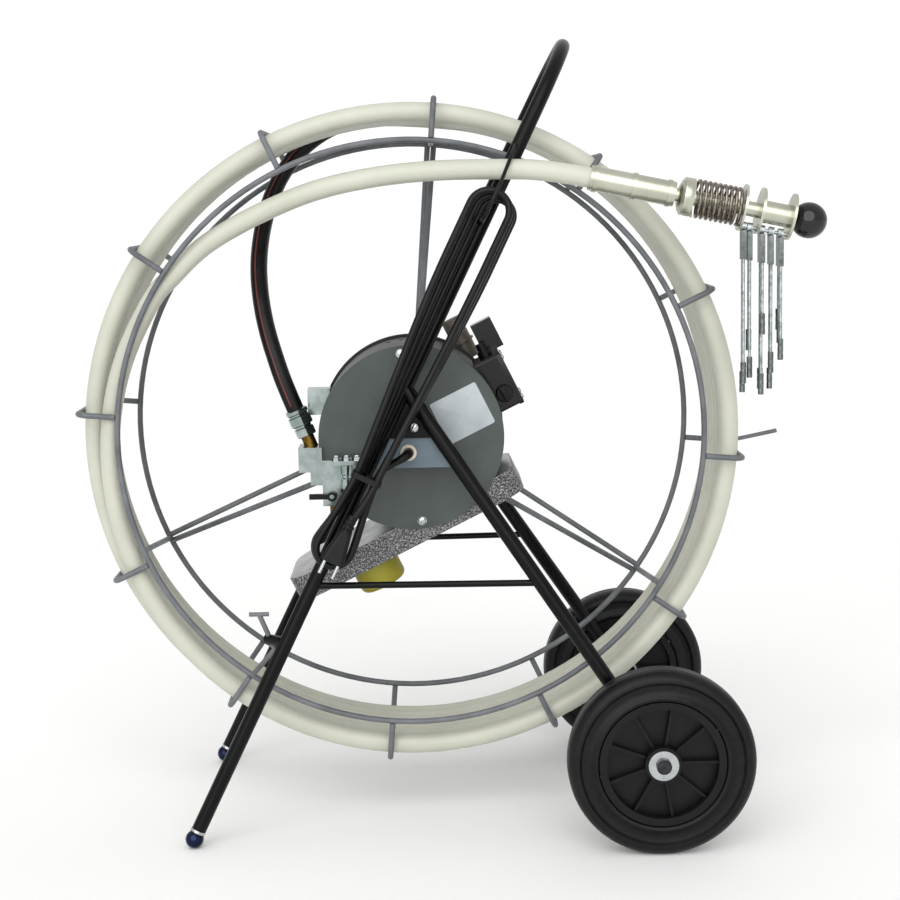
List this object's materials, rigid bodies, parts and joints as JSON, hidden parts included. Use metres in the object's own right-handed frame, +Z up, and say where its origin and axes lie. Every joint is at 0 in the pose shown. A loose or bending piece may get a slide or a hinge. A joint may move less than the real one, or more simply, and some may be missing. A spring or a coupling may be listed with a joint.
{
  "type": "drain cleaning machine",
  "caption": "Wheeled drain cleaning machine: a tube trolley with a wire-cage hose reel that holds the motor, and a parked hose end with a spinning head of wire flails.",
  "frame": {"origin": "on the floor under the middle of the object's box, without its cords", "axes": "+Z up, +X towards the wheels and the handle, -Y the side with the cable hank and the hose end"},
  "size_m": [1.0168, 0.5526, 1.0828],
  "materials": {
    "black_gloss": "gloss",
    "plate_grey": "satin",
    "zinc": "satin",
    "galvanised": "dull",
    "head_steel": "satin",
    "cage_grey": "satin",
    "drum_grey": "satin",
    "hammertone": "speckled",
    "motor_green": "satin",
    "yellow": "gloss",
    "capacitor_grey": "matt",
    "box_grey": "satin",
    "black_plastic": "matt",
    "ball_black": "gloss",
    "brass": "dull",
    "cream": "satin",
    "black_rubber": "matt",
    "tyre": "matt, dusty tread"
  },
  "bodies": {
    "frame": {"main_tube_near": "black_gloss", "main_tube_far": "black_gloss", "handle_bow": "black_gloss", "rear_leg_near": "black_gloss", "rear_leg_far": "black_gloss", "tie_bars": "black_gloss", "gussets": "black_gloss", "wheel_axle": "zinc", "ball_feet": "ball_black", "axle_plates": "plate_grey", "stub_axles": "zinc", "plate_bolts": "zinc", "cable_grommet": "cream", "hank_strap": "black_rubber", "wheel_washers": "zinc", "power_lead": "black_rubber", "cable_hank": "black_rubber", "cable_tie": "black_plastic", "plug_body": "black_rubber", "plug_pins": "zinc", "hose_end": "cream", "hose_sleeve": "head_steel"},
    "reel": {"ring_near": "cage_grey", "ring_far": "cage_grey", "hoops": "cage_grey", "cross_bars": "cage_grey", "spokes": "cage_grey", "cover_drum": "drum_grey", "back_plate": "zinc", "cover_screws": "zinc", "motor": "motor_green", "motor_base": "hammertone", "yellow_cap": "yellow", "capacitor": "capacitor_grey", "switch_box": "box_grey", "switch_lid": "box_grey", "cable_gland": "black_plastic", "hose_nut": "zinc", "valve_body": "zinc", "brass_fittings": "brass", "flange_bolts": "zinc", "clamp_block": "zinc", "feed_hose": "black_rubber", "hose_coil": "cream"},
    "wheel_near": {"tyre_near": "tyre", "wheel_disc_near": "black_plastic"},
    "wheel_far": {"tyre_far": "tyre", "wheel_disc_far": "black_plastic"},
    "head": {"head_spindle": "head_steel", "head_spring": "galvanised", "flail_pins": "galvanised", "head_ball": "ball_black"},
    "switch_knob": {"switch_knob": "black_plastic"},
    "valve_lever": {"valve_lever": "black_plastic"},
    "lock_hook": {"lock_hook": "zinc"},
    "flail_1": {"flail_1": "galvanised"},
    "flail_2": {"flail_2": "galvanised"},
    "flail_3": {"flail_3": "galvanised"},
    "flail_4": {"flail_4": "galvanised"},
    "flail_5": {"flail_5": "galvanised"}
  },
  "joints": [
    {"name": "reel_spin", "type": "hinge", "parent": "frame", "child": "reel", "pos_m": [-0.04814, 0, 0.545], "axis": [0, -1, 0], "continuous": true, "deforming": ["hose_end"]},
    {"name": "wheel_near_spin", "type": "hinge", "parent": "frame", "child": "wheel_near", "pos_m": [0.27486, -0.242, 0.125], "axis": [0, 1, 0], "continuous": true},
    {"name": "wheel_far_spin", "type": "hinge", "parent": "frame", "child": "wheel_far", "pos_m": [0.27486, 0.242, 0.125], "axis": [0, 1, 0], "continuous": true},
    {"name": "head_spin", "type": "hinge", "parent": "frame", "child": "head", "pos_m": [0.31713, -0.15096, 0.86501], "axis": [0.9781, 0, -0.2079], "continuous": true},
    {"name": "lock_turn", "type": "hinge", "parent": "frame", "child": "lock_hook", "pos_m": [-0.26014, -0.1499, 0.313], "axis": [-0.3779, -0.001, 0.9258], "range_deg": [0, 75]},
    {"name": "switch_turn", "type": "hinge", "parent": "reel", "child": "switch_knob", "pos_m": [0.08208, -0.0503, 0.59738], "axis": [0, 1, 0], "range_deg": [0, 90]},
    {"name": "valve_turn", "type": "hinge", "parent": "reel", "child": "valve_lever", "pos_m": [-0.15814, -0.115, 0.468], "axis": [0, -1, 0], "range_deg": [0, 90]},
    {"name": "flail_1_swing", "type": "hinge", "parent": "head", "child": "flail_1", "pos_m": [0.39734, -0.15096, 0.82343], "axis": [0.9781, 0, -0.2079], "range_deg": [-70, 70]},
    {"name": "flail_2_swing", "type": "hinge", "parent": "head", "child": "flail_2", "pos_m": [0.40565, -0.15096, 0.82166], "axis": [0.9781, 0, -0.2079], "range_deg": [-70, 70]},
    {"name": "flail_3_swing", "type": "hinge", "parent": "head", "child": "flail_3", "pos_m": [0.42169, -0.15096, 0.81825], "axis": [0.9781, 0, -0.2079], "range_deg": [-70, 70]},
    {"name": "flail_4_swing", "type": "hinge", "parent": "head", "child": "flail_4", "pos_m": [0.43392, -0.15096, 0.81565], "axis": [0.9781, 0, -0.2079], "range_deg": [-70, 70]},
    {"name": "flail_5_swing", "type": "hinge", "parent": "head", "child": "flail_5", "pos_m": [0.44615, -0.15096, 0.81305], "axis": [0.9781, 0, -0.2079], "range_deg": [-70, 70]}
  ]
}
